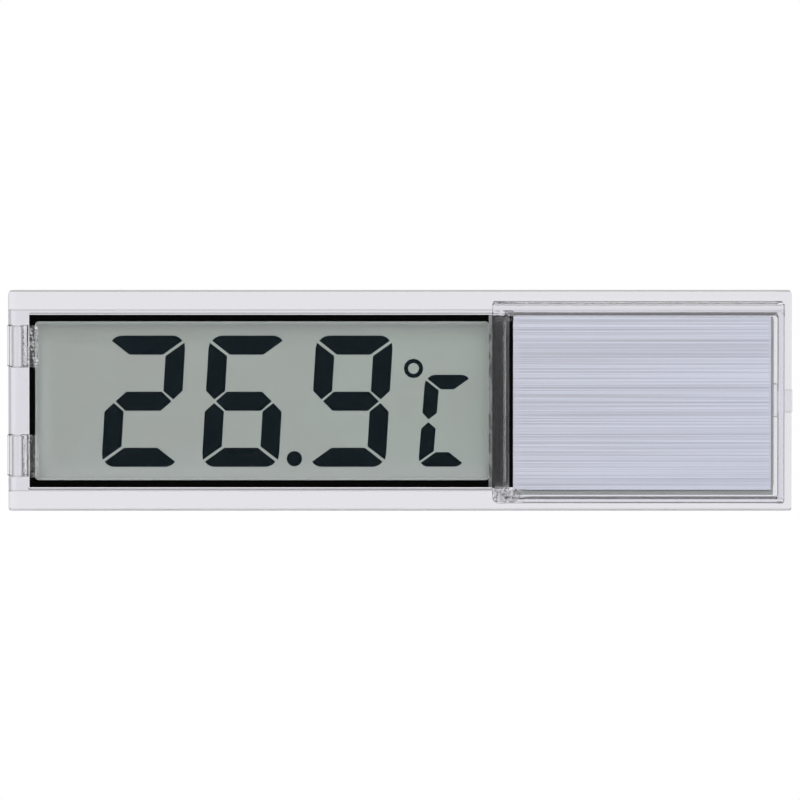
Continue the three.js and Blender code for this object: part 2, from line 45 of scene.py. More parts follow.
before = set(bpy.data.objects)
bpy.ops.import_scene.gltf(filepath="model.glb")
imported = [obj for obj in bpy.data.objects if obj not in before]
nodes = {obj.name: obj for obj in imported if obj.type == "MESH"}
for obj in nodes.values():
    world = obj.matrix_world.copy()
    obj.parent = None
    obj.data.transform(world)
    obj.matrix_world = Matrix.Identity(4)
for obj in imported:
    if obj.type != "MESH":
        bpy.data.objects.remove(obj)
cad_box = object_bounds()


# ---- Node helpers ---------------------------------------------------------------------------------


def srgb(red, green, blue):
    """A linear colour from 0 to 255 screen values."""

    def linear(value):
        value /= 255
        return value / 12.92 if value <= 0.04045 else ((value + 0.055) / 1.055) ** 2.4

    return linear(red), linear(green), linear(blue), 1.0


class Nodes:
    """Short calls that add nodes to a tree and link them."""

    def __init__(self, tree):
        self.tree = tree
        tree.nodes.clear()

    def add(self, kind, **settings):
        node = self.tree.nodes.new(kind)
        for key, value in settings.items():
            setattr(node, key, value)
        return node

    def put(self, value, socket):
        """Sets a socket to a number or colour, or links an output to it."""
        if isinstance(value, bpy.types.NodeSocket):
            self.tree.links.new(value, socket)
        else:
            socket.default_value = value

    def math(self, operation, a, b=0.0, c=0.0):
        node = self.add("ShaderNodeMath", operation=operation)
        for value, socket in zip((a, b, c), node.inputs):
            self.put(value, socket)
        return node.outputs[0]

    def mix(self, factor, a, b):
        """a where factor is 0 and b where it is 1, as colours."""
        node = self.add("ShaderNodeMix", data_type="RGBA")
        for value, name in ((factor, "Factor_Float"), (a, "A_Color"), (b, "B_Color")):
            socket = next(s for s in node.inputs if s.identifier == name)
            self.put(value, socket)
        return next(s for s in node.outputs if s.identifier == "Result_Color")

    def scale(self, value, low, high, to_low=0.0, to_high=1.0):
        """Maps low..high to to_low..to_high, smoothly, and holds it outside."""
        node = self.add("ShaderNodeMapRange", interpolation_type="SMOOTHSTEP")
        for number, socket in zip((value, low, high, to_low, to_high), node.inputs):
            self.put(number, socket)
        return node.outputs[0]

    def place(self):
        """X, Y and Z in the row frame, in metres, for a piece that sits at the origin."""
        coordinates = self.add("ShaderNodeTexCoord").outputs["Object"]
        split = self.add("ShaderNodeSeparateXYZ")
        self.put(coordinates, split.inputs[0])
        return split.outputs[0], split.outputs[1], split.outputs[2]

    def noise(self, scale, detail, stretch=(1, 1, 1), roughness=0.5):
        """Noise from 0 to 1, with scale times stretch cells to the metre along each axis."""
        coordinates = self.add("ShaderNodeTexCoord").outputs["Object"]
        mapping = self.add("ShaderNodeMapping")
        self.put(coordinates, mapping.inputs["Vector"])
        mapping.inputs["Scale"].default_value = stretch
        node = self.add("ShaderNodeTexNoise")
        self.put(mapping.outputs[0], node.inputs["Vector"])
        node.inputs["Scale"].default_value = scale
        node.inputs["Detail"].default_value = detail
        node.inputs["Roughness"].default_value = roughness
        return node.outputs[0]

    def bump(self, height, distance, strength):
        """A normal for a surface raised by height times distance, in metres."""
        node = self.add("ShaderNodeBump")
        self.put(height, node.inputs["Height"])
        node.inputs["Distance"].default_value = distance
        node.inputs["Strength"].default_value = strength
        return node.outputs[0]


def new_material(name):
    """A material with one Principled shader, as the material, its node helper and the shader."""
    material = bpy.data.materials.new(name)
    material.use_nodes = True
    kit = Nodes(material.node_tree)
    output = kit.add("ShaderNodeOutputMaterial")
    shader = kit.add("ShaderNodeBsdfPrincipled")
    kit.put(shader.outputs[0], output.inputs["Surface"])
    return material, kit, shader


def surface(name, colour, roughness, metallic=0.0, **sockets):
    """A Principled material. Colour, roughness and sockets may be functions of the node helper."""
    material, kit, shader = new_material(name)
    kit.put(colour(kit) if callable(colour) else colour, shader.inputs["Base Color"])
    kit.put(roughness(kit) if callable(roughness) else roughness, shader.inputs["Roughness"])
    shader.inputs["Metallic"].default_value = metallic
    for socket, value in sockets.items():
        kit.put(value(kit) if callable(value) else value, shader.inputs[socket.replace("_", " ")])
    return material


# ---- Materials ------------------------------------------------------------------------------------


def near(kit, value, centre, half, fade):
    """1 within half of centre, and 0 beyond the fade."""
    away = kit.math("ABSOLUTE", kit.math("SUBTRACT", value, centre))
    return kit.scale(away, half, half + fade, 1.0, 0.0)


def patch(kit, x, z, centre, half, fade):
    """1 in a rectangle on the front: its centre, half size and fade, each as (x, z) in millimetres."""
    across = near(kit, x, centre[0] * MM, half[0] * MM, fade[0] * MM)
    up = near(kit, z, centre[1] * MM, half[1] * MM, fade[1] * MM)
    return kit.math("MULTIPLY", across, up)


def close_to_front(kit, y, depth):
    """1 within depth millimetres of the pod's front face, and 0 behind that."""
    return kit.math("LESS_THAN", y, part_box(FRONT_CASE)[0].y + depth * MM)


POCKET_HEIGHT = 7.7  # the hooks' pockets are centred this far above and below the middle, in mm


def hook_pockets(kit):
    """1 in the two moulded pockets beside the hooks, and 0 elsewhere."""
    x, _, z = kit.place()
    return patch(kit, x, kit.math("ABSOLUTE", z), (-51.85, POCKET_HEIGHT), (1.0, 2.75), (0.1, 0.1))


def underside(kit):
    """1 along the case's lower edge, which is left matt, and 0 elsewhere."""
    _, _, z = kit.place()
    return kit.math("LESS_THAN", z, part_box(FRONT_CASE)[0].z + 0.2 * MM)


def pod_corners(kit):
    """1 on the front of the pod's two left corners, and 0 elsewhere."""
    x, y, z = kit.place()
    lower = patch(kit, x, z, (14.9, -13.2), (1.9, 1.0), (1.2, 0.2))
    upper = patch(kit, x, z, (14.7, 12.3), (0.9, 0.5), (0.4, 0.3))
    return kit.math("MULTIPLY", kit.math("ADD", lower, upper), close_to_front(kit, y, 0.4))


def pod_shoulder(kit):
    """1 on the front of the pod's left wall and on a line just inside it, and 0 elsewhere."""
    x, y, z = kit.place()
    wall = patch(kit, x, z, (13.85, 0.0), (0.55, 11.9), (0.1, 0.4))
    line = patch(kit, x, z, (15.0, 0.0), (0.2, 11.9), (0.12, 0.4))
    return kit.math("MULTIPLY", kit.math("ADD", wall, line), close_to_front(kit, y, 0.1))


FLOW_HAZE = 0.03  # roughness that the flow marks add at most
SHOULDER_HAZE = 0.42  # roughness on the pod's left wall
UNDERSIDE_HAZE = 0.5  # roughness on the case's lower edge
CRINKLE = 20.0  # how much higher the crinkles and streaks are than the flow marks


def plastic_roughness(kit, flow, shoulder):
    """Polished, apart from the pod's left wall and the case's lower edge."""
    polished = kit.math("MULTIPLY", flow, FLOW_HAZE)
    hazy = kit.math("ADD", polished, kit.math("MULTIPLY", shoulder, SHOULDER_HAZE))
    return kit.math("MULTIPLY_ADD", underside(kit), UNDERSIDE_HAZE, hazy)


def plastic_relief(kit, flow, shoulder):
    """Faint flow marks, crinkles in the pockets and pod corners, and streaks down the pod's left wall."""
    crinkled = kit.math("ADD", hook_pockets(kit), pod_corners(kit))
    ripples = kit.math("MULTIPLY", kit.noise(1.0, 2.0, stretch=(1900, 1900, 900)), crinkled)
    streaks = kit.math("MULTIPLY", kit.noise(1.0, 2.0, stretch=(1600, 1, 260)), shoulder)
    height = kit.math("MULTIPLY_ADD", kit.math("ADD", ripples, streaks), CRINKLE, flow)
    return kit.bump(height, 0.01 * MM, 0.6)


def clear_plastic():
    """Polished clear plastic. Lamps shine through it, so that what it holds is lit."""
    material, kit, shader = new_material("clear_plastic")
    shader.inputs["Base Color"].default_value = (0.975, 0.97, 0.99, 1)
    shader.inputs["Transmission Weight"].default_value = 1.0
    shader.inputs["IOR"].default_value = 1.5
    flow = kit.scale(kit.noise(90, 1.0, stretch=(0.25, 1, 1)), 0.35, 0.75)
    shoulder = pod_shoulder(kit)
    kit.put(plastic_roughness(kit, flow, shoulder), shader.inputs["Roughness"])
    kit.put(plastic_relief(kit, flow, shoulder), shader.inputs["Normal"])
    open_to_lamps = kit.add("ShaderNodeBsdfTransparent")
    open_to_lamps.inputs[0].default_value = (0.93, 0.93, 0.95, 1)
    path = kit.add("ShaderNodeLightPath")
    mixer = kit.add("ShaderNodeMixShader")
    kit.put(path.outputs["Is Shadow Ray"], mixer.inputs[0])
    kit.put(shader.outputs[0], mixer.inputs[1])
    kit.put(open_to_lamps.outputs[0], mixer.inputs[2])
    output = next(n for n in kit.tree.nodes if n.type == "OUTPUT_MATERIAL")
    kit.put(mixer.outputs[0], output.inputs["Surface"])
    body = kit.add("ShaderNodeVolumeAbsorption")
    body.inputs["Color"].default_value = (0.3, 0.27, 0.5, 1)
    body.inputs["Density"].default_value = 25
    kit.put(body.outputs[0], output.inputs["Volume"])
    return material


def edge_distance(kit, node):
    """How far a point is inside a node's outline as the front shows it, in metres."""
    low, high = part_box(node)
    x, _, z = kit.place()
    across = kit.math("MINIMUM", kit.math("SUBTRACT", x, low.x), kit.math("SUBTRACT", high.x, x))
    along = kit.math("MINIMUM", kit.math("SUBTRACT", z, low.z), kit.math("SUBTRACT", high.z, z))
    return kit.math("MINIMUM", across, along)


def polarizer_film():
    """A grey film with a painted highlight: a paler line where its cut edge catches the light."""

    def alpha(kit):
        # Painted highlight: more of the grey film shows along its cut edge, so the edge reads paler.
        return kit.scale(edge_distance(kit, "front_polarizer"), 0.1 * MM, 0.25 * MM, 0.2, 0.004)

    return surface("polarizer_film", srgb(190, 196, 190), 0.2, Alpha=alpha, Specular_IOR_Level=0.1)


def liquid_crystal():
    """Dark where the segments stand forward of the film, and clear elsewhere."""
    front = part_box("segment_layer")[0].y

    def alpha(kit):
        _, y, _ = kit.place()
        return kit.math("LESS_THAN", y, front + 0.04 * MM)

    return surface("liquid_crystal", srgb(2, 18, 25), 0.35, Alpha=alpha, Specular_IOR_Level=0.0)


def reflector_film():
    """Greenish grey with faint mottling and a little greener to the right, with painted light that makes it
    paler towards its bottom and towards its edges.
    """
    low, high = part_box("reflector")

    def colour(kit):
        x, _, z = kit.place()
        across = kit.scale(x, low.x, high.x)
        base = kit.mix(across, srgb(182, 190, 180), srgb(184, 196, 184))
        # Painted light: paler towards the bottom.
        up = kit.scale(z, low.z, low.z + 9 * MM, 0.5, 0.0)
        lit = kit.mix(up, base, srgb(190, 198, 192))
        cloud = kit.scale(kit.noise(160, 3), 0.3, 0.7, 0.0, 0.3)
        mottled = kit.mix(cloud, lit, srgb(182, 182, 174))
        # Painted light: paler towards the edges, to cancel the shade that the bezel and the case's walls
        # throw on the film there.
        painted_edge_light = kit.scale(edge_distance(kit, "reflector"), 0.5 * MM, 3.5 * MM, 0.9, 0.0)
        return kit.mix(painted_edge_light, mottled, srgb(200, 208, 199))

    return surface("reflector_film", colour, 0.6, Specular_IOR_Level=0.2)


def brushed_foil():
    """Silver foil brushed along its length, with a paler margin at each end, and painted light that makes it
    paler towards its lower right.
    """
    low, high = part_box("silver_panel")
    ruling = 0.43 * MM  # between the regular fine lines
    pitch = 2.15 * MM  # between the bolder lines, before they wander

    def stripes(kit):
        fine = kit.noise(1.0, 1.0, stretch=(14, 1, 6400), roughness=0.6)
        broad = kit.noise(1.0, 2.0, stretch=(5, 1, 900))
        _, _, z = kit.place()
        wave = kit.math("MULTIPLY_ADD", z, 2 * math.pi / ruling, kit.math("MULTIPLY", broad, 9))
        mixed = kit.math("ADD", kit.math("MULTIPLY", fine, 0.7), kit.math("MULTIPLY", broad, 0.3))
        return kit.math("MULTIPLY_ADD", kit.math("SINE", wave), 0.05, mixed)

    def colour(kit):
        x, _, z = kit.place()
        grain = kit.scale(stripes(kit), 0.36, 0.62)
        # Painted light: the foil pales towards its lower right.
        painted_glow = kit.scale(kit.math("SUBTRACT", x, z), 15 * MM, 65 * MM, 0.0, 1.0)
        dark = kit.mix(painted_glow, srgb(203, 206, 212), srgb(212, 216, 225))
        base = kit.mix(grain, dark, srgb(236, 240, 248))
        wander = kit.math("MULTIPLY", kit.noise(1.0, 0.0, stretch=(0, 1, 330)), 0.9)
        row = kit.math("FRACT", kit.math("ADD", kit.math("DIVIDE", z, pitch), wander))
        line = kit.scale(kit.math("ABSOLUTE", kit.math("SUBTRACT", row, 0.5)), 0.0, 0.05, 0.4, 0.0)
        lined = kit.mix(line, base, srgb(160, 164, 174))
        left = kit.scale(x, low.x + 0.75 * MM, low.x + 0.95 * MM, 0.45, 0.0)
        right = kit.scale(x, high.x - 0.4 * MM, high.x - 0.3 * MM, 0.0, 0.6)
        margins = kit.math("ADD", left, right)
        return kit.mix(margins, lined, srgb(226, 224, 236))

    return surface(
        "brushed_foil",
        colour,
        lambda kit: kit.scale(stripes(kit), 0.3, 0.7, 0.34, 0.5),
        metallic=0.1,
        Normal=lambda kit: kit.bump(stripes(kit), 0.02 * MM, 0.4),
    )


def foam_tape():
    """White foam with fine cells."""

    def cells(kit):
        return kit.noise(4200, 2)

    def colour(kit):
        return kit.mix(kit.scale(cells(kit), 0.35, 0.65), srgb(176, 174, 165), srgb(204, 202, 193))

    return surface(
        "foam_tape",
        colour,
        0.9,
        Normal=lambda kit: kit.bump(cells(kit), 0.08 * MM, 0.6),
    )


def zebra_rubber():
    """Silicone with a striped conducting core."""

    def colour(kit):
        _, _, z = kit.place()
        stripe = kit.math("FRACT", kit.math("DIVIDE", z, 0.35 * MM))
        return kit.mix(kit.math("GREATER_THAN", stripe, 0.5), srgb(224, 168, 172), srgb(40, 34, 38))

    return surface("zebra_rubber", colour, 0.6)


def board_laminate():
    """Bare laminate, with green solder mask on the side that carries the parts."""
    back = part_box("circuit_board")[1].y
    turns = 9000  # radians of the cloth's weave to the metre

    def weave(kit):
        x, _, z = kit.place()
        warp = kit.math("SINE", kit.math("MULTIPLY", x, turns))
        weft = kit.math("SINE", kit.math("MULTIPLY", z, turns))
        return kit.math("MULTIPLY", warp, weft)

    def colour(kit):
        _, y, _ = kit.place()
        masked = kit.math("GREATER_THAN", y, back - 0.05 * MM)
        bare = kit.mix(kit.scale(weave(kit), -1, 1), srgb(162, 168, 162), srgb(174, 179, 174))
        green = kit.mix(kit.scale(weave(kit), -1, 1), srgb(20, 84, 54), srgb(26, 98, 62))
        return kit.mix(masked, bare, green)

    return surface(
        "board_laminate",
        colour,
        0.3,
        Coat_Weight=0.4,
        Normal=lambda kit: kit.bump(weave(kit), 0.01 * MM, 0.3),
    )


def black_epoxy():
    """Cured epoxy, unevenly glossy."""
    return surface(
        "black_epoxy",
        lambda kit: kit.mix(kit.noise(900, 3), srgb(18, 18, 19), srgb(30, 30, 31)),
        lambda kit: kit.scale(kit.noise(1400, 2), 0.3, 0.7, 0.3, 0.5),
        Normal=lambda kit: kit.bump(kit.noise(1400, 2), 0.02 * MM, 0.5),
    )


def chip_with_ends(node, body):
    """A surface-mount part: its body colour, and a tinned end at its left and right."""
    low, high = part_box(node)
    middle = (low.x + high.x) / 2
    plain = 0.72 * (high.x - low.x) / 2  # half the length that isn't tinned

    def end(kit):
        x, _, _ = kit.place()
        away = kit.math("ABSOLUTE", kit.math("SUBTRACT", x, middle))
        return kit.math("GREATER_THAN", away, plain)

    material, kit, shader = new_material(node)
    kit.put(kit.mix(end(kit), body, srgb(205, 206, 208)), shader.inputs["Base Color"])
    kit.put(end(kit), shader.inputs["Metallic"])
    kit.put(kit.scale(end(kit), 0, 1, 0.4, 0.28), shader.inputs["Roughness"])
    kit.put(kit.bump(kit.noise(2500, 2), 0.02 * MM, 0.4), shader.inputs["Normal"])
    return material


def white_plastic():
    """Moulded plastic with a fine grain."""
    return surface(
        "white_plastic",
        lambda kit: kit.mix(kit.noise(260, 2), srgb(206, 204, 197), srgb(217, 216, 209)),
        lambda kit: kit.scale(kit.noise(1800, 3), 0.3, 0.7, 0.42, 0.58),
        Normal=lambda kit: kit.bump(kit.noise(3800, 3), 0.02 * MM, 0.4),
        Subsurface_Weight=0.05,
    )


def turned_steel(name, node):
    """Nickel-plated steel with fine turning marks round a cell's axis."""
    low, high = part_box(node)
    centre = (low + high) / 2
    turns = 32000  # radians of the turning marks to the metre

    def rings(kit):
        x, _, z = kit.place()
        across = kit.math("SUBTRACT", x, centre.x)
        up = kit.math("SUBTRACT", z, centre.z)
        radius = kit.math("SQRT", kit.math("ADD", kit.math("POWER", across, 2), kit.math("POWER", up, 2)))
        return kit.math("SINE", kit.math("MULTIPLY", radius, turns))

    return surface(
        name,
        lambda kit: kit.mix(kit.noise(500, 3), srgb(196, 197, 200), srgb(222, 222, 224)),
        lambda kit: kit.scale(kit.noise(900, 3), 0.3, 0.7, 0.2, 0.36),
        metallic=1.0,
        Normal=lambda kit: kit.bump(rings(kit), 0.004 * MM, 0.5),
    )


def contact_metal():
    """Plated bronze, rolled."""
    return surface(
        "contact_metal",
        lambda kit: kit.mix(kit.noise(150, 2), srgb(206, 198, 168), srgb(216, 208, 180)),
        lambda kit: kit.scale(kit.noise(500, 3), 0.3, 0.7, 0.24, 0.34),
        metallic=1.0,
        Normal=lambda kit: kit.bump(kit.noise(1, 2, stretch=(200, 200, 2600)), 0.002 * MM, 0.2),
    )


BEYOND = 1.0  # an x in metres that is far to the right of the object


def scuffed_plastic(name, faint, strong, grain=(1500, 1, 420), right=BEYOND):
    """Frosted tool marks, from faint to strong along their grain, that fade out as x nears right."""
    fading = 2.5 * MM

    def alpha(kit):
        x, _, _ = kit.place()
        broad = kit.noise(1.0, 2.0, stretch=grain)
        fine = kit.noise(1.0, 2.0, stretch=(4200, 1, 1900))
        streaks = kit.math("ADD", kit.math("MULTIPLY", broad, 0.6), kit.math("MULTIPLY", fine, 0.4))
        fade = kit.scale(x, right - fading, right, 1.0, 0.0)
        return kit.math("MULTIPLY", kit.scale(streaks, 0.47, 0.56, faint, strong), fade)

    def colour(kit):
        return kit.mix(kit.scale(kit.noise(3000, 1), 0.4, 0.6), srgb(120, 122, 124), srgb(206, 206, 210))

    return surface(name, colour, 0.5, Alpha=alpha)


# ---- Shapes ---------------------------------------------------------------------------------------


def smooth(piece, degrees=35):
    """Shades the piece smooth, apart from its real edges."""
    for polygon in piece.data.polygons:
        polygon.use_smooth = True
    for edge in piece.data.edges:
        edge.use_edge_sharp = False
    piece.data.set_sharp_from_angle(angle=math.radians(degrees))


def soften(piece, width):
    """Rounds the edges of a CAD node by modifiers, which leave its own vertices alone."""
    join = piece.modifiers.new("flat_faces", "DECIMATE")
    join.decimate_type = "DISSOLVE"
    join.angle_limit = math.radians(0.6)
    bevel = piece.modifiers.new("soft_edges", "BEVEL")
    bevel.width = width
    bevel.segments = 2
    bevel.limit_method = "ANGLE"
    bevel.angle_limit = math.radians(40)
    bevel.use_clamp_overlap = True
    bevel.harden_normals = True
    bevel.miter_outer = "MITER_ARC"


def finish_nodes():
    """Gives each CAD node its material, and softens its edges by a width in millimetres."""
    clear = clear_plastic()
    epoxy = black_epoxy()
    metal = contact_metal()
    pad = foam_tape()
    glass = surface("display_glass", srgb(214, 226, 220), 0.03, Alpha=0.002)
    seal = surface(
        "cell_seal",
        lambda kit: kit.mix(kit.noise(600, 2), srgb(44, 72, 116), srgb(54, 84, 130)),
        0.5,
    )
    wire = surface(
        "tinned_wire",
        lambda kit: kit.mix(kit.noise(900, 2), srgb(186, 186, 188), srgb(214, 214, 216)),
        0.3,
        metallic=1.0,
    )
    bezel = surface(
        "bezel_black",
        lambda kit: kit.mix(kit.noise(700, 2), srgb(3, 4, 2), srgb(7, 7, 7)),
        0.6,
        Specular_IOR_Level=0.0,
    )
    resistor = srgb(26, 27, 29)
    capacitor = srgb(186, 160, 122)
    finishes = {
        "front_case": (clear, 0.14),
        "back_cover": (clear, 0.1),
        "adhesive_pad_left": (pad, 0.08),
        "adhesive_pad_centre": (pad, 0.08),
        "adhesive_pad_right": (pad, 0.08),
        "display_bezel": (bezel, 0),
        "front_polarizer": (polarizer_film(), 0),
        "front_glass": (glass, 0.04),
        "segment_layer": (liquid_crystal(), 0),
        "rear_glass": (glass, 0.04),
        "reflector": (reflector_film(), 0),
        "zebra_strip": (zebra_rubber(), 0.1),
        "circuit_board": (board_laminate(), 0.03),
        "chip_blob": (epoxy, 0),
        "thermistor_bead": (epoxy, 0),
        "thermistor_wire_upper": (wire, 0),
        "thermistor_wire_lower": (wire, 0),
        "reference_resistor": (chip_with_ends("reference_resistor", resistor), 0.06),
        "series_resistor": (chip_with_ends("series_resistor", resistor), 0.06),
        "supply_capacitor": (chip_with_ends("supply_capacitor", capacitor), 0.1),
        "timing_capacitor": (chip_with_ends("timing_capacitor", capacitor), 0.1),
        "battery_tray": (white_plastic(), 0.12),
        "left_cell_can": (turned_steel("left_cell_steel", "left_cell_can"), 0.08),
        "right_cell_can": (turned_steel("right_cell_steel", "right_cell_can"), 0.08),
        "left_cell_seal": (seal, 0),
        "right_cell_seal": (seal, 0),
        "left_cell_cap": (turned_steel("left_cap_steel", "left_cell_cap"), 0.08),
        "right_cell_cap": (turned_steel("right_cap_steel", "right_cell_cap"), 0.08),
        "bridge_contact": (metal, 0.04),
        "negative_contact": (metal, 0.04),
        "positive_contact": (metal, 0.04),
        "silver_panel": (brushed_foil(), 0),
    }
    for name, (material, edge) in finishes.items():
        piece = nodes[name]
        piece.data.materials.clear()
        piece.data.materials.append(material)
        smooth(piece)
        if edge:
            soften(piece, edge * MM)
    # The real segments are inside the liquid crystal, so they throw no shadow on the film behind them.
    nodes["segment_layer"].visible_shadow = False
    nodes["segment_layer"].visible_diffuse = False


# ---- Added detail, in millimetres -----------------------------------------------------------------

SUNK = 0.02  # how far an added piece runs into what it stands on


def add_piece(name, form, material, body):
    """Makes an object of a bmesh in millimetres, which rides on a body."""
    for vertex in form.verts:
        vertex.co *= MM
    bmesh.ops.recalc_face_normals(form, faces=form.faces)
    mesh = bpy.data.meshes.new(name)
    form.to_mesh(mesh)
    form.free()
    piece = bpy.data.objects.new(name, mesh)
    bpy.context.scene.collection.objects.link(piece)
    mesh.materials.append(material)
    smooth(piece, 40)
    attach(piece, body)


def add_hull(form, points):
    """Adds the smallest convex solid round the points."""
    vertices = [form.verts.new(point) for point in points]
    bmesh.ops.convex_hull(form, input=vertices)


def add_block(form, low, high):
    """Adds the box between two of its corners."""
    add_hull(form, itertools.product(*zip(low, high)))


def add_track(form, route, width, back, front):
    """A copper track: flat bars along the route, with a round end at each of its points."""
    for (x0, z0), (x1, z1) in zip(route, route[1:]):
        length = math.hypot(x1 - x0, z1 - z0)
        across = (-(z1 - z0) / length * width / 2, (x1 - x0) / length * width / 2)
        corners = [(x + s * across[0], z + s * across[1]) for x, z in ((x0, z0), (x1, z1)) for s in (-1, 1)]
        add_hull(form, [(x, y, z) for x, z in corners for y in (back, front)])
    for x, z in route:
        turns = [2 * math.pi * i / 10 for i in range(10)]
        ring = [(x + width / 2 * math.cos(t), z + width / 2 * math.sin(t)) for t in turns]
        add_hull(form, [(u, y, w) for u, w in ring for y in (back, front + 0.003)])


TRACK_RISE = 0.03
CHIPS = ("reference_resistor", "series_resistor", "supply_capacitor", "timing_capacitor")
FEET = ((46.4, 7.5), (46.4, 5.3))  # where the thermistor's wires are soldered
TRACKS = (
    ((24.2, 8.6), (26.2, 8.6), (27.8, 7.7)),
    ((24.2, 5.6), (27.6, 5.6)),
    ((20.6, 8.6), (20.6, 5.6)),
    ((37.1, 8.9), (35.4, 8.9), (34.2, 8.2)),
    ((37.7, 5.4), (35.2, 5.4)),
    ((40.7, 8.9), (44.6, 8.9), FEET[0]),
    ((40.1, 5.4), (44.6, 5.3), FEET[1]),
    ((27.9, 4.2), (26.6, 3.0), (19.0, 3.0)),
    ((28.4, 3.6), (27.1, 2.3), (19.0, 2.3)),
    ((34.4, 3.6), (35.6, 2.4), (49.0, 2.4)),
)


def board_tracks():
    """Tracks under the green mask, and the bundle that leaves the chip for the tray's far side."""
    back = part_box("circuit_board")[1].y / MM
    form = bmesh.new()
    for route in TRACKS:
        add_track(form, route, 0.35, back - SUNK, back + TRACK_RISE)
    for step in range(7):
        x = 29.3 + 0.7 * step
        add_track(form, ((x, 4.0), (x, 1.0)), 0.3, back - SUNK, back + TRACK_RISE)
    track = surface(
        "masked_track",
        lambda kit: kit.mix(kit.noise(900, 2), srgb(38, 122, 78), srgb(46, 134, 88)),
        0.3,
        Coat_Weight=0.4,
    )
    add_piece("board_tracks", form, track, FRONT_CASE)


def solder_joints(solder):
    """A fillet at each end of the chips, and a cone round each of the thermistor's wires."""
    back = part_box("circuit_board")[1].y / MM
    form = bmesh.new()
    for chip in CHIPS:
        low, high = (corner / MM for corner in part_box(chip))
        middle = (low.z + high.z) / 2
        half = (high.z - low.z) / 2
        top = back + 0.65 * (high.y - low.y)
        for end, side in ((low.x, -1), (high.x, 1)):
            out = end + side * 0.5
            points = [(end - side * 0.05, back - SUNK, middle + s * half) for s in (-1, 1)]
            points += [(out, back - SUNK, middle + s * half * 0.9) for s in (-1, 1)]
            points += [(end + side * 0.02, top, middle + s * half * 0.85) for s in (-1, 1)]
            points += [(end + side * 0.3, back + 0.08, middle + s * half * 0.9) for s in (-1, 1)]
            add_hull(form, points)
    for x, z in FEET:
        turns = [2 * math.pi * i / 20 for i in range(20)]
        points = []
        for radius, height in ((0.55, -SUNK), (0.5, 0.1), (0.3, 0.28), (0.24, 0.5)):
            points += [(x + radius * math.cos(t), back + height, z + radius * math.sin(t)) for t in turns]
        add_hull(form, points)
    add_piece("solder_joints", form, solder, FRONT_CASE)


def plus_mark(form, x, z, back, rise, size, width):
    """Adds a plus that stands up from a face that looks backwards."""
    for across, up in ((size / 2, width / 2), (width / 2, size / 2)):
        add_block(form, (x - across, back - SUNK, z - up), (x + across, back + rise, z + up))


def polarity_marks():
    """Raised marks: a plus on the cell that shows its flat end, painted darker than the can as painted
    shade, and a plus and a minus on the tray.
    """
    low, high = (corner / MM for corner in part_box("left_cell_can"))
    stamp = bmesh.new()
    plus_mark(stamp, (low.x + high.x) / 2, high.z - 1.7, high.y, rise=0.06, size=1.7, width=0.32)
    # Painted shade: the plus is steel made darker than the can, in place of the shading that shows a stamped
    # mark.
    shaded_steel = surface(
        "stamp_painted_shade",
        lambda kit: kit.mix(kit.noise(900, 2), srgb(112, 113, 116), srgb(134, 135, 138)),
        0.4,
        metallic=1.0,
    )
    add_piece("cell_plus_stamp", stamp, shaded_steel, FRONT_CASE)
    tray_low, tray_high = (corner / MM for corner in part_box("battery_tray"))
    row = (low.z + high.z) / 2
    marks = bmesh.new()
    rise = 0.3
    plus_mark(marks, tray_low.x + 1.75, row, tray_high.y, rise, size=2.0, width=0.45)
    minus = tray_high.x - 1.7
    bar_low = (minus - 1.0, tray_high.y - SUNK, row - 0.22)
    bar_high = (minus + 1.0, tray_high.y + rise, row + 0.22)
    add_block(marks, bar_low, bar_high)
    add_piece("tray_polarity_marks", marks, white_plastic(), FRONT_CASE)


WINDOW_FRONT = -5.1  # Y of the window's front face
SKIN = 0.02  # how far the flat frosting lies under the plastic's surface


def pocket_scuffs():
    """Frosted tool marks on the dished floor of each pocket beside a hook."""
    left, right, half_height = -52.33, -50.78, 2.95
    corner = 0.6  # radius of the two right corners
    dish_left, dish_right, dish_depth = -53.2, -50.75, 0.5
    middle = (dish_left + dish_right) / 2
    reach = (dish_right - dish_left) / 2
    floor_gap = 0.015  # how far the frosting stands off the pocket's floor
    steps = 16
    for name, centre, faint, strong in (
        ("upper", POCKET_HEIGHT, 0.04, 0.62),
        ("lower", -POCKET_HEIGHT, 0.01, 0.22),
    ):
        form = bmesh.new()
        columns = []
        for i in range(steps + 1):
            x = left + (right - left) * i / steps
            sunk = dish_depth * math.sqrt(max(0.0, 1 - ((x - middle) / reach) ** 2))
            inset = max(0.0, corner - (right - x))
            half = half_height - (corner - math.sqrt(max(0.0, corner**2 - inset**2)))
            y = WINDOW_FRONT + sunk - floor_gap
            columns.append([form.verts.new((x, y, centre + s * half)) for s in (-1, 1)])
        for near_pair, far_pair in zip(columns, columns[1:]):
            form.faces.new((near_pair[0], far_pair[0], far_pair[1], near_pair[1]))
        piece_name = f"{name}_pocket_scuffs"
        add_piece(piece_name, form, scuffed_plastic(piece_name, faint, strong), FRONT_CASE)


def add_sheet(name, outline, depth, material):
    """One flat face that looks forward, at a depth inside the case's clear plastic."""
    form = bmesh.new()
    form.faces.new([form.verts.new((x, depth, z)) for x, z in outline])
    add_piece(name, form, material, FRONT_CASE)


def corner_scuffs():
    """Frosting just under the skin of the pod's lower left corner."""
    pod_front = (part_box(FRONT_CASE)[0] / MM).y
    left, right, bottom, top = 13.1, 18.0, -13.95, -12.0
    radius = 0.8  # of its lower left corner
    turns = [math.pi + 0.5 * math.pi * i / 8 for i in range(9)]
    outline = [(left + radius + radius * math.cos(t), bottom + radius + radius * math.sin(t)) for t in turns]
    outline += [(right, bottom), (right, top), (left, top)]
    frosted = scuffed_plastic("corner_scuffs", 0.52, 0.85, grain=(1300, 1, 1300), right=right * MM)
    add_sheet("pod_corner_scuffs", outline, pod_front + SKIN, frosted)


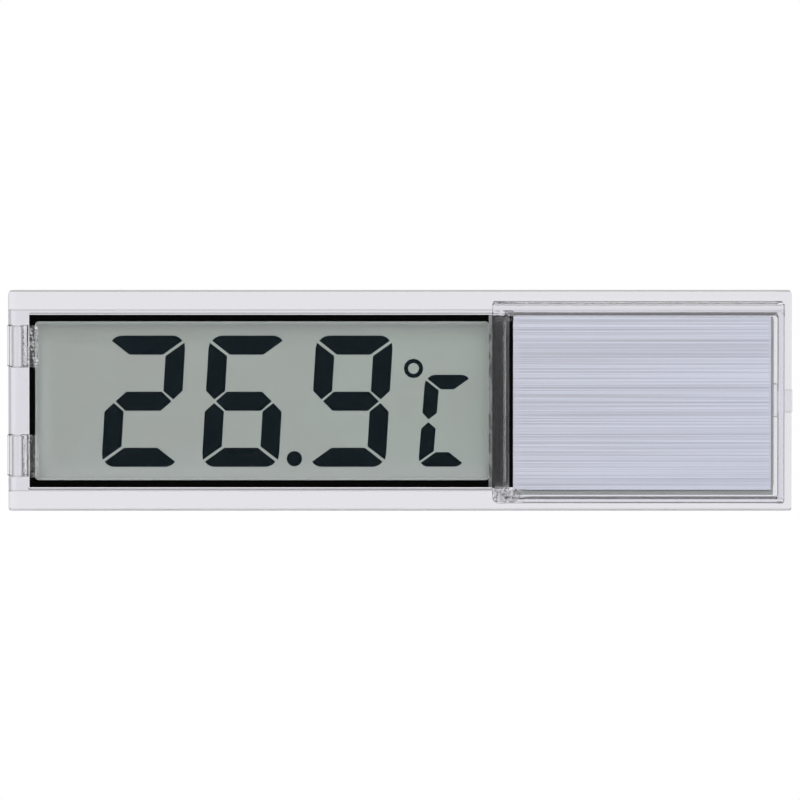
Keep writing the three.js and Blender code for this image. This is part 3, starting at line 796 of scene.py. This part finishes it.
def wall_scuffs():
    """Frosting along the foot of the pod's left wall, where it rises from the window."""

    def colour(kit):
        patches = kit.scale(kit.noise(1.0, 2.0, stretch=(900, 1, 500)), 0.4, 0.6)
        return kit.mix(patches, srgb(106, 110, 108), srgb(168, 170, 168))

    left, right, bottom, top = 12.46, 12.95, -12.1, 12.1
    outline = [(left, bottom), (right, bottom), (right, top), (left, top)]
    frosted = surface("wall_scuffs", colour, 0.5, Alpha=0.8)
    add_sheet("pod_wall_scuffs", outline, WINDOW_FRONT + SKIN, frosted)


def added_detail():
    """Everything that the CAD leaves out."""
    solder = surface(
        "solder",
        lambda kit: kit.mix(kit.noise(1500, 3), srgb(188, 190, 194), srgb(216, 217, 220)),
        lambda kit: kit.scale(kit.noise(1500, 3), 0.3, 0.7, 0.16, 0.32),
        metallic=1.0,
    )
    board_tracks()
    solder_joints(solder)
    polarity_marks()
    pocket_scuffs()
    corner_scuffs()
    wall_scuffs()


# ---- Studio ---------------------------------------------------------------------------------------


PALE_BACK = 0.92  # what clear plastic shows of the studio straight behind it
DARK_EDGE = 0.22  # what it shows to the left of that, where its edges bend the light
RIGHT_EDGE = 0.6  # and to the right
DARK_ABOVE = 0.22  # how much of that is left above the horizon
DARK_BELOW = 0.45  # and far below it
DARK_ROOM = 0.02  # how much is left in front of the thermometer
MIRRORED = 0.7  # what polished faces mirror elsewhere
FILL = 0.85  # what lights the matt surfaces


def studio_world():
    """White behind the object. What the plastic bends or mirrors is darker to the sides, for its edges."""
    world = bpy.data.worlds.new("studio")
    bpy.context.scene.world = world
    world.use_nodes = True
    kit = Nodes(world.node_tree)
    output = kit.add("ShaderNodeOutputWorld")
    coordinates = kit.add("ShaderNodeTexCoord").outputs["Generated"]
    split = kit.add("ShaderNodeSeparateXYZ")
    kit.put(coordinates, split.inputs[0])
    x, y, z = split.outputs
    # Eight pale backgrounds, 45 degrees apart, with darker gaps between them.
    turn = kit.math("MULTIPLY", kit.math("ARCTAN2", x, y), 8)
    gap = kit.scale(x, -0.1, 0.1, DARK_EDGE, RIGHT_EDGE)
    around = kit.scale(kit.math("COSINE", turn), -0.95, -0.1, gap, PALE_BACK)
    above = kit.scale(z, 0.01, 0.08, 1.0, DARK_ABOVE)
    below = kit.scale(z, -0.72, -0.52, DARK_BELOW, 1.0)
    # The room in front of the thermometer is dark, so the window mirrors nothing over the display.
    room = kit.scale(y, -0.995, -0.975, DARK_ROOM, 1.0)
    through = kit.math("MULTIPLY", kit.math("MULTIPLY", kit.math("MULTIPLY", around, above), below), room)
    mirrored = kit.math("MULTIPLY", room, MIRRORED)
    path = kit.add("ShaderNodeLightPath")
    level = kit.mix(path.outputs["Is Glossy Ray"], (FILL, FILL, FILL, 1), mirrored)
    level = kit.mix(path.outputs["Is Transmission Ray"], level, through)
    level = kit.mix(path.outputs["Is Camera Ray"], level, (1, 1, 1, 1))
    background = kit.add("ShaderNodeBackground")
    kit.put(level, background.inputs["Color"])
    kit.put(background.outputs[0], output.inputs["Surface"])


def floor():
    """A plain white floor under the object, bright enough to meet the background unseen."""
    height = cad_box[0][2] - 0.2 * MM
    reach = 30  # metres
    corners = [(-reach, -reach), (reach, -reach), (reach, reach), (-reach, reach)]
    mesh = bpy.data.meshes.new("floor")
    mesh.from_pydata([(x, y, height) for x, y in corners], [], [(0, 1, 2, 3)])
    plane = bpy.data.objects.new("floor", mesh)
    bpy.context.scene.collection.objects.link(plane)
    material, kit, shader = new_material("floor")
    shader.inputs["Base Color"].default_value = (0.9, 0.9, 0.9, 1)
    shader.inputs["Roughness"].default_value = 1.0
    shader.inputs["Specular IOR Level"].default_value = 0.0
    bright = kit.add("ShaderNodeEmission")
    bright.inputs["Color"].default_value = (1, 1, 1, 1)
    path = kit.add("ShaderNodeLightPath")
    mixer = kit.add("ShaderNodeMixShader")
    kit.put(path.outputs["Is Camera Ray"], mixer.inputs[0])
    kit.put(shader.outputs[0], mixer.inputs[1])
    kit.put(bright.outputs[0], mixer.inputs[2])
    output = next(n for n in kit.tree.nodes if n.type == "OUTPUT_MATERIAL")
    kit.put(mixer.outputs[0], output.inputs["Surface"])
    mesh.materials.append(material)
    plane.visible_glossy = False
    plane.visible_transmission = False


def aim(thing, target):
    """Turns a camera or lamp to face a point."""
    thing.rotation_euler = (Vector(target) - thing.location).to_track_quat("-Z", "Y").to_euler()


def softbox(name, place, size, watts):
    """A square lamp, aimed at the object, that isn't seen through the plastic."""
    lamp = bpy.data.lights.new(name, "AREA")
    lamp.shape = "SQUARE"
    lamp.size = size
    lamp.energy = watts
    lamp_object = bpy.data.objects.new(name, lamp)
    bpy.context.scene.collection.objects.link(lamp_object)
    lamp_object.location = place
    lamp_object.visible_transmission = False
    lamp_object.visible_camera = False
    aim(lamp_object, (0, 0, 0))


def studio_lights():
    softbox("front_softbox", (-0.15, -0.8, 0.75), 0.9, 9)
    softbox("back_softbox", (0.15, 0.8, 0.75), 0.9, 9)


CAMERA_ELEVATION = math.radians(4)
LENS = 600  # mm
SENSOR = 36  # mm
FRAME_WIDTH = 112.5 * MM  # what the picture spans at the display


def camera():
    """Nearly straight on from the front, through a long lens."""
    data = bpy.data.cameras.new("camera")
    data.lens = LENS
    data.sensor_width = SENSOR
    data.clip_start = 0.01
    data.clip_end = 100
    eye = bpy.data.objects.new("camera", data)
    bpy.context.scene.collection.objects.link(eye)
    low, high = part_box(FRONT_CASE)
    bezel_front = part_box("display_bezel")[0].y
    target = Vector(((low.x + high.x) / 2, (high.y + bezel_front) / 2, (low.z + high.z) / 2))
    distance = FRAME_WIDTH * LENS / SENSOR
    direction = Vector((0, -math.cos(CAMERA_ELEVATION), math.sin(CAMERA_ELEVATION)))
    eye.location = target + direction * distance
    aim(eye, target)
    bpy.context.scene.camera = eye


finish_nodes()
added_detail()
studio_world()
floor()
studio_lights()
camera()

scene = bpy.context.scene
scene.view_settings.view_transform = "Standard"
scene.cycles.use_denoising = True
scene.cycles.max_bounces = 24
scene.cycles.transmission_bounces = 20
scene.cycles.transparent_max_bounces = 24
